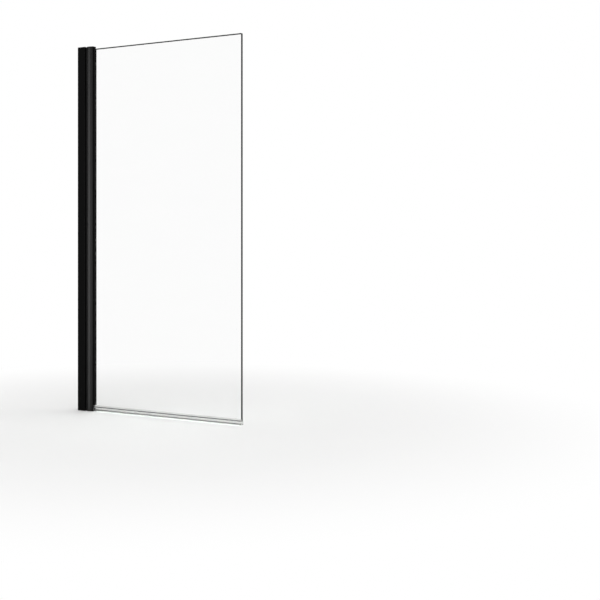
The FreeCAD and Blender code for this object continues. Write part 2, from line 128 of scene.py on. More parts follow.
class Nodes:
    """The node tree of a finish or of the world, emptied and ready to be filled."""

    def __init__(self, owner):
        owner.use_nodes = True
        self.tree = owner.node_tree
        self.tree.nodes.clear()

    def add(self, kind, settings=None, sockets=None, give=0):
        """Add a node of that kind and return the reading of its output named or numbered give."""
        made = self.tree.nodes.new("ShaderNode" + kind)
        for name, value in (settings or {}).items():
            setattr(made, name, value)
        for name, value in (sockets or {}).items():
            if isinstance(value, Reading):
                self.tree.links.new(value.socket, made.inputs[name])
            else:
                made.inputs[name].default_value = value
        return Reading(self, made.outputs[give]) if made.outputs else None

    def place(self):
        """Where a point lies on the object, in metres."""
        return self.add("TexCoord", give="Object")

    def axis(self, name):
        """One coordinate of a point, X, Y or Z, in metres."""
        return self.add("SeparateXYZ", {}, {"Vector": self.place()}, give=name)

    def noise(self, grain, detail=2.0, stretch=(1.0, 1.0, 1.0)):
        """Cloudy value from 0 to 1, with lumps grain metres wide times the stretch of each axis."""
        squeeze = tuple(1.0 / (grain * longer) for longer in stretch)
        where = self.add("Mapping", {}, {"Vector": self.place(), "Scale": squeeze})
        return self.add("TexNoise", {}, {"Vector": where, "Scale": 1.0, "Detail": detail})

    def shade(self, factor, dark, light):
        """Colour between dark, at factor 0, and light, at factor 1. Either may be a reading."""
        sockets = {MIX_FACTOR: factor}
        for socket, colour in ((MIX_FROM, dark), (MIX_TO, light)):
            sockets[socket] = colour if isinstance(colour, Reading) else (*colour, 1.0)
        return self.add("Mix", {"data_type": "RGBA"}, sockets, give=MIX_COLOUR)

    def relief(self, height, depth):
        """Normal of a surface whose height, from 0 to 1, stands depth metres high."""
        return self.add("Bump", {}, {"Height": height, "Distance": depth})

    def seen(self):
        """One for what the camera sees, straight, mirrored or through glass.

        It is 0 for what lights a matt surface, so that a glow for the camera adds no light there.
        """
        names = ("Is Camera Ray", "Is Glossy Ray", "Is Transmission Ray", "Diffuse Depth")
        camera, glossy, through, scattered = (self.add("LightPath", give=name) for name in names)
        return camera.larger(glossy).larger(through) * (scattered < FIRST_SCATTER)


print("a node tree can:", *(name for name in vars(Nodes) if not name.startswith("_")))

# %% From a recipe to a finish
def between(factor, least, most):
    """Number from least, at factor 0, to most, at factor 1."""
    return least + (most - least) * factor


def finish(recipe):
    """New material, named as its recipe, which fills a node tree and gives the output's sockets."""
    material = bpy.data.materials.new(recipe.__name__)
    nodes = Nodes(material)
    nodes.add("OutputMaterial", {}, recipe(nodes))
    print("finish:", material.name, len(nodes.tree.nodes), "nodes")
    return material


# %% [markdown]
# ## The camera
# The picture's straight edges meet in two vanishing points, and those give the focal length and
# the heading. The camera stood level, at the height of the horizon line. It could be tilted until
# the screen is in the frame, but then the uprights would lean, so a lens shift puts the horizon at
# its row instead.

# %% Camera at the picture's place
PICTURE_SIDE = 600.0                # pixels, both ways
FOCAL_LENGTH = 1093.0               # pixels
HORIZON_ROW = 236.3                 # pixels below the picture's top
EYE = (2.8145, -3.2732, 0.6714)     # metres from the frame's origin
HEADING = 29.34                     # degrees to the left of straight across the glass
LEVEL = 90.0                        # degrees up from looking straight down

lens = bpy.data.cameras.new("picture_camera")
lens.lens = lens.sensor_width * FOCAL_LENGTH / PICTURE_SIDE
lens.shift_y = HORIZON_ROW / PICTURE_SIDE - 0.5
camera = bpy.data.objects.new("picture_camera", lens)
camera.location = EYE
camera.rotation_euler = (math.radians(LEVEL), 0.0, math.radians(HEADING))
scene.collection.objects.link(camera)
scene.camera = camera
print("lens", round(lens.lens, 2), "mm, shift", round(lens.shift_y, 3))

# %% [markdown]
# ## Meshes from whole arrays
# A surface could be built point by point with bmesh, which is slow to read and to run. Here numpy
# works out all its points at once, and one function hands them to Blender. Surfaces are shaded
# smooth, an edge that bends more than the given angle stays crisp, and the normals are weighted by
# area, so that a large flat face stays flat right up to its rounded edge.

# %% Put a surface into the scene
CRISP_EDGE = 32.0                   # degrees


def put(name, points, faces, material):
    """Mesh object from an array of points and a list of faces."""
    mesh = bpy.data.meshes.new(name)
    mesh.from_pydata(np.reshape(points, (-1, 3)), [], faces)
    mesh.shade_smooth()
    mesh.set_sharp_from_angle(angle=math.radians(CRISP_EDGE))
    mesh.materials.append(material)
    mesh.validate()
    piece = bpy.data.objects.new(name, mesh)
    piece.modifiers.new("weighted_normals", "WEIGHTED_NORMAL").keep_sharp = True
    scene.collection.objects.link(piece)
    print(name, len(mesh.vertices), "points,", len(mesh.polygons), "faces")
    return piece


# %% [markdown]
# ## Floor, backdrop and light
# The floor is a pale disc that takes the soft shadow of the screen. A backdrop that curves up
# behind it would show through the glass, so the floor fades to white instead, and no horizon
# crosses the pane. The fade and the white surroundings are for what the camera sees, straight,
# mirrored or through glass, and the light on the object stays at a plain level.

# %% Paint of the floor
FLOOR_COLOUR = (0.90, 0.90, 0.895)
MOTTLE = 0.35                       # metres across
MOTTLE_SHADE = 0.985                # of the floor's colour
FADE_START = 0.5                    # metres from the middle of the screen
FADE_LENGTH = 1.3                   # metres
WHITE = (1.0, 1.0, 1.0, 1.0)
screen_middle = (cad_low + cad_high) / 2
under_screen = screen_middle * (1.0, 1.0, 0.0)


def pale_floor(nodes):
    """Matt pale paint with a faint mottle, which turns to plain white away from the object."""
    paint = nodes.shade(nodes.noise(MOTTLE), np.multiply(FLOOR_COLOUR, MOTTLE_SHADE), FLOOR_COLOUR)
    matt = nodes.add("BsdfDiffuse", {}, {"Color": paint})
    glow = nodes.add("Emission", {}, {"Color": WHITE})
    ends = {0: nodes.place(), 1: tuple(under_screen)}
    away = nodes.add("VectorMath", {"operation": "DISTANCE"}, ends, give="Value")
    fade = nodes.add(
        "MapRange",
        {"interpolation_type": "SMOOTHSTEP"},
        {"Value": away, "From Min": FADE_START, "From Max": FADE_START + FADE_LENGTH},
    )
    return {"Surface": nodes.add("MixShader", {}, {0: fade * nodes.seen(), 1: matt, 2: glow})}


floor_paint = finish(pale_floor)

# %% Floor
FLOOR_RADIUS = 6.0                  # metres
FLOOR_RINGS = 12
FLOOR_SPOKES = 96


def disc(radius, rings, spokes):
    """Flat disc: ring r is at r / rings of the radius, spoke t at t / spokes of a full turn."""
    r, t = np.meshgrid(np.linspace(0.0, radius, rings + 1)[1:], np.arange(spokes), indexing="ij")
    turn = 2.0 * math.pi * t / spokes
    points = np.stack((r * np.cos(turn), r * np.sin(turn), 0.0 * r), axis=2)
    number = np.arange(rings * spokes).reshape(rings, spokes)
    follow = np.roll(number, -1, axis=1)
    quads = np.stack((number[:-1], number[1:], follow[1:], follow[:-1]), axis=2).reshape(-1, 4)
    return points, quads.tolist() + [number[0].tolist()]


floor = put("floor", *disc(FLOOR_RADIUS, FLOOR_RINGS, FLOOR_SPOKES), floor_paint)

# %% [markdown]
# The black post would be a mere outline without something bright to mirror. A tall soft box at the
# front left puts the long highlight on the rounded nose of the post, and a wider one carries it
# round the nose. Two more do the same for the back, and one on the right lights the post's flank.
# Brighter surroundings would do it too, but they would turn the black grey. In a studio, black
# flags would keep this light off the floor, off the clear pieces and, for the tall boxes, off the
# wall channel; here light linking leaves those out. A large soft box overhead lights the floor, and
# even light from all round does the rest.

# %% Soft boxes and what they leave out
SOFT_BOXES = {
    # name: (metres from the post, degrees left of the front, width, height, watts)
    "tall_soft_box": (1.0, 22.0, 0.20, 1.83, 1.42),
    "wide_soft_box": (1.6, 6.7, 0.34, 2.10, 1.10),
    "right_soft_box": (3.2, -75.0, 1.60, 1.80, 2.8),
    "rear_tall_soft_box": (1.0, 158.0, 0.20, 1.83, 1.42),
    "rear_wide_soft_box": (2.0, -163.0, 1.00, 1.80, 2.7),
}
TALL_BOXES = ("tall_soft_box", "rear_tall_soft_box")
CHANNEL_PIECES = ("wall_channel", "channel_top_cap", "channel_foot_cap")
shades = {name: bpy.data.collections.new("shade_of_" + name) for name in SOFT_BOXES}


def flag_off(piece, boxes=SOFT_BOXES):
    """The soft boxes neither light the piece nor are blocked by it."""
    for name in boxes:
        shades[name].objects.link(piece)
        shades[name].collection_objects[-1].light_linking.link_state = "EXCLUDE"


flag_off(floor)
for name in CHANNEL_PIECES:
    flag_off(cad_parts[name], TALL_BOXES)
print("flagged off the tall boxes:", *CHANNEL_PIECES)

# %% One soft box
def soft_box(name, place, target, width, height, power, beam):
    """Rectangular lamp at a place, turned to a target, with its light kept within the beam's angle.

    It is out of the camera's sight. A lamp with a shade leaves out what is flagged off, and lights
    no surface by way of another one. A lamp without one is never mirrored by the smooth pane.
    """
    lamp = bpy.data.lights.new(name, "AREA")
    lamp.shape = "RECTANGLE"
    lamp.size, lamp.size_y, lamp.energy, lamp.spread = width, height, power, math.radians(beam)
    holder = bpy.data.objects.new(name, lamp)
    lamp.cycles.use_multiple_importance_sampling = name in shades
    if name in shades:
        lamp.cycles.max_bounces = 0
        holder.light_linking.receiver_collection = shades[name]
        holder.light_linking.blocker_collection = shades[name]
    holder.location = place
    holder.rotation_euler = Vector(target - place).to_track_quat("-Z", "Y").to_euler()
    holder.visible_camera = False
    holder.visible_transmission = False
    scene.collection.objects.link(holder)
    print(name, np.round(place, 2), power, "W")


# %% Lamps and surroundings
LIFT = 0.045                        # metres from the screen's middle up to the soft boxes' middle
BEAM = 40.0                         # degrees
WIDE_OPEN = 180.0                   # degrees
OVERHEAD_HEIGHT = 4.0               # metres
OVERHEAD_SIDE = 4.0                 # metres
OVERHEAD_POWER = 106.0              # watts
AMBIENT = 0.50                      # of white
lip_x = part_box("glazing_post")[1].x

aim = np.array((lip_x, 0.0, screen_middle[2] + LIFT))
for name, (distance, left, width, height, power) in SOFT_BOXES.items():
    turn = math.radians(left)
    place = aim - distance * np.array((math.sin(turn), math.cos(turn), 0.0))
    soft_box(name, place, aim, width, height, power, BEAM)
above = under_screen + (0.0, 0.0, OVERHEAD_HEIGHT)
soft_box("overhead", above, screen_middle, OVERHEAD_SIDE, OVERHEAD_SIDE, OVERHEAD_POWER, WIDE_OPEN)

scene.world = bpy.data.worlds.new("studio")
studio = Nodes(scene.world)
level = between(studio.seen(), AMBIENT, 1.0)
surround = studio.add("Background", {}, {"Color": WHITE, "Strength": level})
studio.add("OutputWorld", {}, {"Surface": surround})
print("surroundings light with", AMBIENT, "of white and are seen as white")

# %% [markdown]
# ## Finish: satin black powder coat
# The channel and the post are aluminium extrusions with a baked powder coat. Up close it has a
# gentle orange peel, a few millimetres wide and some thousandths high, and a finer grain, and the
# die leaves faint lines along the length. A picture of a sample could be wrapped round the metal,
# but it would repeat, and stretch at the corners. Noise in the object's own coordinates stays at
# its real size, so relief and roughness come from noise; the black itself hardly varies.

# %% Satin black coat
CLOUD = 40 * MM
PEEL = 2.4 * MM
PEEL_HEIGHT = 0.004 * MM
POWDER = 0.35 * MM
POWDER_SHARE = 0.25                 # of the orange peel's height
DIE_LINE = 0.8 * MM
DIE_LINE_STRETCH = (1.0, 1.0, 400.0)
DIE_LINE_SHARE = 0.15               # of the orange peel's height
COAT_SHADES = ((0.0006, 0.0006, 0.0006), (0.0011, 0.0011, 0.0011))
COAT_ROUGHNESS = (0.20, 0.23)
POWDER_ROUGHNESS = 0.02
COAT_GLOSS = 0.045                  # specular level


def satin_black_coat(nodes):
    """Black that varies with broad clouds, and relief from orange peel, grain and die lines."""
    cloud = nodes.noise(CLOUD, detail=3.0)
    peel = nodes.noise(PEEL)
    powder = nodes.noise(POWDER, detail=1.0)
    die_lines = nodes.noise(DIE_LINE, stretch=DIE_LINE_STRETCH)
    height = peel + POWDER_SHARE * powder + DIE_LINE_SHARE * die_lines
    return {"Surface": nodes.add("BsdfPrincipled", {}, {
        "Base Color": nodes.shade(cloud, *COAT_SHADES),
        "Roughness": between(cloud, *COAT_ROUGHNESS) + POWDER_ROUGHNESS * powder,
        "Specular IOR Level": COAT_GLOSS,
        "Normal": nodes.relief(height, PEEL_HEIGHT),
    })}


black_coat = finish(satin_black_coat)

# %% [markdown]
# ## Finish: moulded black plastic
# The end caps and the screw covers are moulded. The mould is spark eroded, which leaves fine
# round pits, so the plastic is a little duller than the coat beside it. Noise would make soft lumps
# of them; the cells of a Voronoi texture are round, so they give the relief.

# %% Moulded black plastic
DRIFT = 15 * MM
PIT = 0.35 * MM
PIT_HEIGHT = 0.012 * MM
PLASTIC_SHADES = ((0.0008, 0.0008, 0.0008), (0.0015, 0.0015, 0.0015))
PLASTIC_ROUGHNESS = (0.30, 0.40)
PLASTIC_GLOSS = 0.055               # specular level


def moulded_black_plastic(nodes):
    """Black with pits of a third of a millimetre and a slow drift of the gloss."""
    drift = nodes.noise(DRIFT)
    pits = nodes.add("TexVoronoi", {}, {"Vector": nodes.place(), "Scale": 1.0 / PIT})
    return {"Surface": nodes.add("BsdfPrincipled", {}, {
        "Base Color": nodes.shade(drift, *PLASTIC_SHADES),
        "Roughness": between(drift, *PLASTIC_ROUGHNESS),
        "Specular IOR Level": PLASTIC_GLOSS,
        "Normal": nodes.relief(pits, PIT_HEIGHT),
    })}


black_plastic = finish(moulded_black_plastic)

# %% [markdown]
# ## Finish: stainless steel
# The screws are stainless steel, turned and tumbled: bright, with short fine scratches and slightly
# duller patches. Modelled scratches would need thousands of faces on a screw a few millimetres wide,
# so noise that is longer along one axis gives them to the roughness and the relief.

# %% Stainless steel
STEEL_PATCH = 2.0 * MM
SCRATCH = 0.25 * MM
SCRATCH_STRETCH = (6.0, 1.0, 1.0)
SCRATCH_HEIGHT = 0.004 * MM
STEEL_SHADES = ((0.50, 0.49, 0.47), (0.62, 0.61, 0.59))
STEEL_ROUGHNESS = (0.22, 0.36)


def tumbled_steel(nodes):
    """Metal whose roughness follows fine scratches and whose colour drifts a little."""
    scratch = nodes.noise(SCRATCH, stretch=SCRATCH_STRETCH)
    return {"Surface": nodes.add("BsdfPrincipled", {}, {
        "Base Color": nodes.shade(nodes.noise(STEEL_PATCH), *STEEL_SHADES),
        "Metallic": 1.0,
        "Roughness": between(scratch, *STEEL_ROUGHNESS),
        "Normal": nodes.relief(scratch, SCRATCH_HEIGHT),
    })}


steel = finish(tumbled_steel)

# %% [markdown]
# ## Finish: black rubber
# The gaskets and the pad are rubber: as black as the coat, but dull, with a faint bloom in patches
# and the fine lines that the die drew along it. With one roughness all over it would pass for
# paint, so the lines change the roughness and stand out as relief.

# %% Black rubber
BLOOM = 20 * MM
DRAWN_LINE = 0.3 * MM
DRAWN_LINE_STRETCH = (1.0, 1.0, 150.0)
DRAWN_LINE_HEIGHT = 0.02 * MM
RUBBER_SHADES = ((0.0006, 0.0006, 0.0006), (0.0012, 0.0012, 0.0012))
RUBBER_ROUGHNESS = (0.50, 0.65)
RUBBER_GLOSS = 0.045                # specular level


def black_rubber(nodes):
    """Dull black with lines along the height and a faint bloom in patches."""
    lines = nodes.noise(DRAWN_LINE, stretch=DRAWN_LINE_STRETCH)
    return {"Surface": nodes.add("BsdfPrincipled", {}, {
        "Base Color": nodes.shade(nodes.noise(BLOOM, detail=4.0), *RUBBER_SHADES),
        "Roughness": between(lines, *RUBBER_ROUGHNESS),
        "Specular IOR Level": RUBBER_GLOSS,
        "Normal": nodes.relief(lines, DRAWN_LINE_HEIGHT),
    })}


rubber = finish(black_rubber)

# %% [markdown]
# ## Finish: grey block plastic
# The blocks that keep the hidden edge of the glass off the metal are sawn from a dark grey plastic.
# They can't be seen until the screen is taken apart, but then a plain grey would look unfinished,
# so one noise gives a speckle and another one, longer along one axis, gives the saw marks.

# %% Grey block plastic
SPECKLE = 0.8 * MM
SAW_MARK = 0.3 * MM
SAW_MARK_STRETCH = (30.0, 1.0, 1.0)
SAW_MARK_HEIGHT = 0.02 * MM
BLOCK_SHADES = ((0.030, 0.031, 0.033), (0.055, 0.056, 0.058))
BLOCK_ROUGHNESS = (0.45, 0.60)


def grey_block_plastic(nodes):
    """Dark grey with speckle and fine saw marks."""
    saw = nodes.noise(SAW_MARK, stretch=SAW_MARK_STRETCH)
    return {"Surface": nodes.add("BsdfPrincipled", {}, {
        "Base Color": nodes.shade(nodes.noise(SPECKLE, detail=3.0), *BLOCK_SHADES),
        "Roughness": between(saw, *BLOCK_ROUGHNESS),
        "Normal": nodes.relief(saw, SAW_MARK_HEIGHT),
    })}


block_plastic = finish(grey_block_plastic)

# %% [markdown]
# ## Finish: clear glass
# Float glass is almost colourless through its faces and darker along its edges, because light that
# enters there travels far inside. A coloured surface would tint faces and edges alike, so the
# colour is an absorption in the volume, and the surface is plain clear glass. The faces have a
# trace of wiping. The ground edges are dull, and they and a margin all round are painted a dark grey
# as shade, darker and wider than a ground edge, for the dark line that the edge shows. Lamps shine
# through the pane, so that it casts hardly any shadow.

# %% Where the pane is ground, and its margin painted dark
# Painted shade: these margins are wider than the ground bevel and painted dark grey for the dark line
# that the edge shows.
PAINTED_EDGE_BAND = 2.3 * MM                # dull margin along the upright edges and the lower one
PAINTED_TOP_BAND = 3.8 * MM                 # dull margin along the top edge
pane_low, pane_high = np.array(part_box("glass_pane"))
print("pane in mm:", np.round((pane_high - pane_low) / MM, 1))


def past(value, low, high):
    """How far a value lies below low or above high; negative between them."""
    return (low - value).larger(value - high)


def ground_edge_and_painted_margin(nodes):
    """One on the ground edges and the painted dark margin beside them, and 0 on the rest of the faces,
    by how near x or z is to the outline.
    """
    low, high = pane_low + PAINTED_EDGE_BAND, pane_high - (PAINTED_EDGE_BAND, 0.0, PAINTED_TOP_BAND)
    across = past(nodes.axis("X"), low[0], high[0])
    upright = past(nodes.axis("Z"), low[2], high[2])
    return across.larger(upright) > 0.0


# %% Ground glass in a painted dark grey, and the light of lamps
GRINDING = 0.2 * MM
GRINDING_STRETCH = (40.0, 1.0, 40.0)
GRINDING_HEIGHT = 0.01 * MM
# Painted shade: the ground edges and margins are far darker than ground glass, so that they stand for
# the edge's dark line.
GROUND_EDGE_PAINTED_SHADES = ((0.022, 0.024, 0.023), (0.036, 0.038, 0.037))
GROUND_ROUGHNESS = (0.28, 0.40)
GROUND_GLOSS = 0.1                  # specular level
LAMP_SHARE = (0.95, 0.97, 0.96, 1.0)


def ground_glass_in_painted_shade(nodes):
    """Dull dark grey, a painted shade darker than ground glass, with the fine marks of the grinding
    wheel, which run along each edge.
    """
    grinding = nodes.noise(GRINDING, stretch=GRINDING_STRETCH)
    return nodes.add("BsdfPrincipled", {}, {
        "Base Color": nodes.shade(grinding, *GROUND_EDGE_PAINTED_SHADES),
        "Roughness": between(grinding, *GROUND_ROUGHNESS),
        "Specular IOR Level": GROUND_GLOSS,
        "Normal": nodes.relief(grinding, GRINDING_HEIGHT),
    })


def lit_through(nodes, solid):
    """The shader of a clear solid, but for the light of lamps a thin film that lets most of it pass."""
    film = nodes.add("BsdfTransparent", {}, {"Color": LAMP_SHARE})
    lamp = nodes.add("LightPath", give="Is Shadow Ray")
    return nodes.add("MixShader", {}, {0: lamp, 1: solid, 2: film})


print("lamp light that a clear piece lets pass:", LAMP_SHARE[:3])

# %% Clear glass
GLASS_TINT = (0.51, 0.525, 0.515, 1.0)
GLASS_DENSITY = 6.0                 # per metre
GLASS_IOR = 1.52
WIPING = 60 * MM
WIPING_STRETCH = (4.0, 1.0, 1.0)
FILM_SHADES = ((0.985, 0.987, 0.986), (1.0, 1.0, 1.0))


def clear_glass(nodes):
    """Glass with a tint in its volume, faint wiping marks on its faces, and ground edges and margins
    painted dark grey as shade.
    """
    wiping = nodes.noise(WIPING, detail=4.0, stretch=WIPING_STRETCH)
    sheet = nodes.add("BsdfPrincipled", {}, {
        "Base Color": nodes.shade(wiping, *FILM_SHADES),
        "Roughness": 0.0,
        "IOR": GLASS_IOR,
        "Transmission Weight": 1.0,
    })
    solid = nodes.add("MixShader", {}, {0: ground_edge_and_painted_margin(nodes), 1: sheet, 2: ground_glass_in_painted_shade(nodes)})
    tint = nodes.add("VolumeAbsorption", {}, {"Color": GLASS_TINT, "Density": GLASS_DENSITY})
    return {"Surface": lit_through(nodes, solid), "Volume": tint}


glass = finish(clear_glass)

# %% [markdown]
# ## Finish: clear soft plastic
# The bottom seal is extruded from clear soft plastic. It is not as clear as glass: the die leaves
# lines along it, and the surface is slightly waxy. A grey stripe low on the tube is painted shade,
# the dark line that the tube's lower curve shows. Where the saw cut it to length, its ends are white
# and dull. Stripe and ends could be pieces of their own, but their joints would show inside the
# clear plastic, so the finish changes with the height and along the length.

# %% Sawn ends of the seal
CUT_DEPTH = 0.5 * MM
CUT_MARK = 0.5 * MM
CUT_MARK_STRETCH = (1.0, 20.0, 1.0)
CUT_MARK_HEIGHT = 0.03 * MM
CUT_SHADES = ((0.80, 0.81, 0.80), (0.92, 0.925, 0.92))
CUT_ROUGHNESS = (0.55, 0.75)
seal_low, seal_high = np.array(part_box("bottom_seal"))
print("seal in mm:", np.round((seal_high - seal_low) / MM, 1))


def sawn_plastic(nodes):
    """Dull white with the marks of the saw, which run across the glass."""
    saw = nodes.noise(CUT_MARK, stretch=CUT_MARK_STRETCH)
    return nodes.add("BsdfPrincipled", {}, {
        "Base Color": nodes.shade(saw, *CUT_SHADES),
        "Roughness": between(saw, *CUT_ROUGHNESS),
        "Normal": nodes.relief(saw, CUT_MARK_HEIGHT),
    })


def end_of_seal(nodes):
    """One within the depth of the cut from either end, and 0 between."""
    return past(nodes.axis("X"), seal_low[0] + CUT_DEPTH, seal_high[0] - CUT_DEPTH) > 0.0


# %% Clear soft plastic
SEAL_LINE = 0.4 * MM
SEAL_LINE_STRETCH = (300.0, 1.0, 1.0)
SEAL_LINE_HEIGHT = 0.02 * MM
WAX = 12 * MM
SEAL_SHADES = ((0.89, 0.89, 0.885), (0.95, 0.95, 0.945))
SEAL_ROUGHNESS = (0.10, 0.20)
SEAL_IOR = 1.45
# Painted shade: a grey line low on the tube stands for the dark line that its lower curve shows.
SHADE_LINE_MIDDLE = 4.8 * MM            # above the foot of the screen
SHADE_LINE_CORE = 1.2 * MM              # full grey up to here from the middle
SHADE_LINE_EDGE = 2.2 * MM              # clear from here on
PAINTED_SHADE_GREY = (0.52, 0.52, 0.515)


def clear_soft_plastic(nodes):
    """Clear plastic with lines along its length, a waxy gloss, a painted grey shade line low on the
    tube and sawn ends.
    """
    lines = nodes.noise(SEAL_LINE, stretch=SEAL_LINE_STRETCH)
    wax = nodes.noise(WAX, detail=3.0)
    # The painted shade line is full grey near its middle height and fades to clear above and below.
    off = abs(nodes.axis("Z") - SHADE_LINE_MIDDLE)
    fade = nodes.add("MapRange", {}, {"Value": off, "From Min": SHADE_LINE_CORE, "From Max": SHADE_LINE_EDGE})
    plastic = nodes.add("BsdfPrincipled", {}, {
        "Base Color": nodes.shade(fade, PAINTED_SHADE_GREY, nodes.shade(wax, *SEAL_SHADES)),
        "Roughness": between(wax, *SEAL_ROUGHNESS),
        "IOR": SEAL_IOR,
        "Transmission Weight": 1.0,
        "Normal": nodes.relief(lines, SEAL_LINE_HEIGHT),
    })
    ends = {0: end_of_seal(nodes), 1: plastic, 2: sawn_plastic(nodes)}
    return {"Surface": lit_through(nodes, nodes.add("MixShader", {}, ends))}


clear_plastic = finish(clear_soft_plastic)

# %% [markdown]
# ## Dress the rigid pieces
# The channel, the post, the caps, the screws and the blocks already have their true shape in the
# frame, roundings included, so there is nothing to remake: they stay and only take a finish. The
# record says which slot each node belongs to.

# %% Finishes for the CAD nodes
FINISH_OF_SLOT = {
    "black_profile": black_coat,
    "black_cap": black_plastic,
    "steel_screw": steel,
    "clear_glass": glass,
    "gasket": rubber,
    "block": block_plastic,
    "clear_seal": clear_plastic,
}
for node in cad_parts.values():
    for slot in node.material_slots:
        slot.material = FINISH_OF_SLOT[slot.material.name.split(".")[0]]
print("dressed", len(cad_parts), "nodes")

# %% [markdown]
# ## Outlines and extrusions
# Gaskets and seals are pushed through a die, so each is one outline carried along a straight path.
# A curve with a bevel profile does that too, but it can't hold a hollow or waver along its length.
# So the outline is a polygon with rounded corners, a loop inside another one is a hollow, and the
# path has many stations at which a soft piece may move a little.

# %% Outline with rounded corners
ARC_STEPS = 6
SAME_POINT = 0.001 * MM


def unit(arrows):
    """Arrows of length one."""
    return arrows / np.linalg.norm(arrows, axis=1, keepdims=True)


def rounded(corners, steps=ARC_STEPS):
    """Closed outline through corners (a, b, radius).

    Each corner is cut back along both its sides by radius times the tangent of half its turn. The
    arc between the cuts is the first cut's spoke turned about the arc's centre in equal steps.
    """
    here, radius = np.asarray(corners)[:, :2], np.asarray(corners)[:, 2]
    coming = unit(here - np.roll(here, 1, axis=0))
    going = np.roll(coming, -1, axis=0)
    cross = coming[:, 0] * going[:, 1] - coming[:, 1] * going[:, 0]
    turn = np.arctan2(cross, (coming * going).sum(axis=1))
    start = here - coming * (radius * np.tan(np.abs(turn) / 2))[:, None]
    left = np.stack((-coming[:, 1], coming[:, 0]), axis=1)
    centre = start + left * (np.sign(turn) * radius)[:, None]
    angle = turn[:, None] * np.linspace(0.0, 1.0, steps + 1)
    across, along = (start - centre).T[:, :, None]
    arcs = np.stack((
        centre[:, :1] + across * np.cos(angle) - along * np.sin(angle),
        centre[:, 1:] + across * np.sin(angle) + along * np.cos(angle),
    ), axis=2).reshape(-1, 2)
    apart = np.linalg.norm(arcs - np.roll(arcs, 1, axis=0), axis=1)
    return arcs[apart > SAME_POINT]


print("rounded corners are arcs of", ARC_STEPS, "steps")

# %% Outlines carried along a path
def facing_out(points, sides, ends):
    """The faces, sides first, all turned round if they would enclose a negative volume."""
    spots = points - points.mean(axis=0)
    triangles = np.concatenate((sides[:, [0, 1, 2]], sides[:, [0, 2, 3]], ends))
    p, q, r = np.swapaxes(spots[triangles], 0, 1)
    order = 1 if (np.cross(p, q) * r).sum() > 0 else -1
    return sides[:, ::order].tolist() + ends[:, ::order].tolist()


def extruded(name, loops, stations, place, material):
    """Piece made of outlines carried along a path, with both its ends filled.

    place(a, b, s) gives x, y and z of outline point (a, b) at station s, for whole arrays. A side
    face joins a point and its follower at two neighbouring stations. The triangles that fill the
    first outline, between its loops, serve for both ends.
    """
    flat = np.concatenate(loops)
    sizes = np.array([len(loop) for loop in loops])
    starts = np.repeat(np.cumsum(sizes) - sizes, sizes)
    number = np.arange(len(flat))
    follow = starts + (number - starts + 1) % np.repeat(sizes, sizes)
    a, b, s = flat[None, :, 0], flat[None, :, 1], np.asarray(stations)[:, None]
    points = np.stack(np.broadcast_arrays(*place(a, b, s)), axis=2).reshape(-1, 3)
    ring = np.stack((number, follow, follow + len(flat), number + len(flat)), axis=1)
    rows = np.arange(len(stations) - 1) * len(flat)
    sides = (rows[:, None, None] + ring).reshape(-1, 4)
    solid = [list(map(Vector, np.pad(loop, ((0, 0), (0, 1))))) for loop in loops]
    fill = np.array(tessellate_polygon(solid))
    one, two = np.diff(flat[fill], axis=1).swapaxes(0, 1)
    clockwise = one[:, 0] * two[:, 1] < one[:, 1] * two[:, 0]
    fill[clockwise] = fill[clockwise, ::-1]
    ends = np.concatenate((fill[:, ::-1], fill + len(points) - len(flat)))
    return put(name, points, facing_out(points, sides, ends), material)


# %% A new piece stands for a CAD node
def stands_for(piece, node):
    """The piece rides on the screen's body and takes the node's place; the node is hidden."""
    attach(piece, "screen")
    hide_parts(node)
    print(piece.name, "stands for", node)


# %% Waver along a length
WAVES = ((0.310, 0.40), (0.117, 0.68), (0.053, 0.12))   # length in metres, start in turns


def waver(s):
    """Slow change from 0 to 1 along s: half plus half the mean of sine waves of unlike lengths."""
    waves = [np.sin(2 * math.pi * (s / length + start)) for length, start in WAVES]
    return 0.5 + np.mean(waves, axis=0) / 2


print("waver at the foot and at the top:", np.round(waver(np.array((cad_low[2], cad_high[2]))), 2))

# %% [markdown]
# ## The glazing gaskets
# A rubber gasket is pressed in on each side of the glass. Its wedge, with a barb, holds inside
# the slot of the post. Outside the lips a thin neck leads to a soft bead that lies on the glass
# and is the dark line beside the post. A straight prism would look like a hard strip; pressed in by
# hand, the bead wavers by a tenth of a millimetre or so, so waves along the height thin it.

# %% Section of a gasket
WEDGE_SHARE = 0.724                 # of the bead's thickness
NECK_SHARE = 0.517                  # of the bead's thickness
NECK_END = 0.427                    # of the way from the lips to the end of the bead
BARB = 0.35 * MM                    # height of the barb, and length of the short slopes
BEAD_EASE = 1.25 * MM               # radius on top of the bead
BEAD_FOOT = 0.5 * MM                # height of the bead's square foot
SOFT_EASE = 0.2 * MM                # radius of the other corners


def gasket_outline(x0, x1, thick):
    """Section of a gasket, a along the glass and b away from it: barbed wedge, neck and bead."""
    wedge, neck = WEDGE_SHARE * thick, NECK_SHARE * thick
    neck_x = lip_x + NECK_END * (x1 - lip_x)
    barb_x = (x0 + lip_x) / 2
    return rounded([
        (x0, 0.0, SOFT_EASE),
        (x1, 0.0, SOFT_EASE / 2),
        (x1, BEAD_FOOT, SOFT_EASE),
        (x1 - BARB, thick, BEAD_EASE),
        (neck_x + BARB, thick, BEAD_EASE),
        (neck_x, neck, BARB),
        (lip_x + BARB, neck, SOFT_EASE),
        (lip_x, wedge, SOFT_EASE),
        (lip_x - 2 * BARB, wedge, SOFT_EASE),
        (barb_x + BARB, wedge - BARB, SOFT_EASE),
        (barb_x, wedge, SOFT_EASE / 2),
        (barb_x - 2 * BARB, wedge, SOFT_EASE),
        (x0 + BARB, wedge - 3 * BARB, 2 * SOFT_EASE),
    ])


# %% Gaskets along the post
BEAD_WAVER = 0.12 * MM              # most that the bead gets thinner
GASKET_STATIONS = 90


